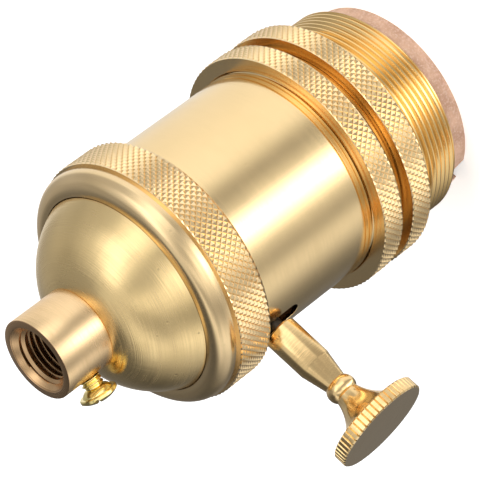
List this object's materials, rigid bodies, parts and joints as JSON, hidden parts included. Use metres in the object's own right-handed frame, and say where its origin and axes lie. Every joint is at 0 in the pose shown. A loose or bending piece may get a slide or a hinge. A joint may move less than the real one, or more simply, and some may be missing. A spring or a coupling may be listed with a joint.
{
  "type": "lamp holder",
  "caption": "Brass E27 lamp holder with a threaded neck, domed cap, turn-knob switch and knurled rings that clamp a shade.",
  "frame": {"origin": "centre of the neck's mouth, on the holder's axis", "axes": "+Z points out of the neck, against the lamp opening; +X points along the switch knob, away from the barrel; +Y completes the frame"},
  "size_m": [0.0643, 0.0434, 0.0803],
  "materials": {
    "satin_brass": "spun and brushed satin brass",
    "polished_brass": "turned and polished brass",
    "neck_brass": "fine turned brass, slightly pink",
    "knurled_brass": "turned brass with a diamond-knurled band",
    "knob_brass": "turned brass",
    "plated_screw": "bright plated, glossy",
    "fibre": "matt pinkish-brown vulcanised fibre",
    "ceramic": "unglazed steatite, off-white",
    "contact_brass": "plain sheet brass",
    "steel": "plain steel",
    "moulding": "dark moulded resin"
  },
  "bodies": {
    "holder": {"neck_bush": "neck_brass", "cap_dome": "satin_brass", "cap_liner": "fibre", "ring_nut": "knurled_brass", "barrel": "polished_brass", "insulating_liner": "fibre", "switch_block": "ceramic", "lamp_insulator": "ceramic", "screw_shell": "contact_brass", "shell_rivets": "contact_brass", "contact_rivet": "contact_brass", "centre_contact": "contact_brass", "lamp_lead_spring": "contact_brass", "line_leaf_spring": "contact_brass", "neutral_strap": "contact_brass", "line_terminal": "contact_brass", "neutral_terminal": "contact_brass", "line_terminal_screw": "steel", "neutral_terminal_screw": "steel", "core_screws": "steel", "detent_spring": "steel", "spindle_bush": "contact_brass"},
    "knob": {"switch_knob": "knob_brass", "switch_spindle": "steel", "switch_rotor": "moulding", "rotor_contact": "contact_brass"},
    "upper_ring": {"shade_ring_upper": "knurled_brass"},
    "lower_ring": {"shade_ring_lower": "knurled_brass"},
    "neck_screw": {"set_screw": "plated_screw"}
  },
  "joints": [
    {"name": "switch_turn", "type": "hinge", "parent": "holder", "child": "knob", "pos_m": [0, 0, -0.03335], "axis": [1, 0, 0], "continuous": true},
    {"name": "upper_ring_travel", "type": "slide", "parent": "holder", "child": "upper_ring", "axis": [0, 0, -1], "range_m": [0, 0.0011]},
    {"name": "lower_ring_travel", "type": "slide", "parent": "holder", "child": "lower_ring", "axis": [0, 0, -1], "range_m": [-0.0011, 0.0095]},
    {"name": "set_screw_travel", "type": "slide", "parent": "holder", "child": "neck_screw", "axis": [0.829, -0.5592, 0], "range_m": [-0.0005, 0.002]}
  ]
}
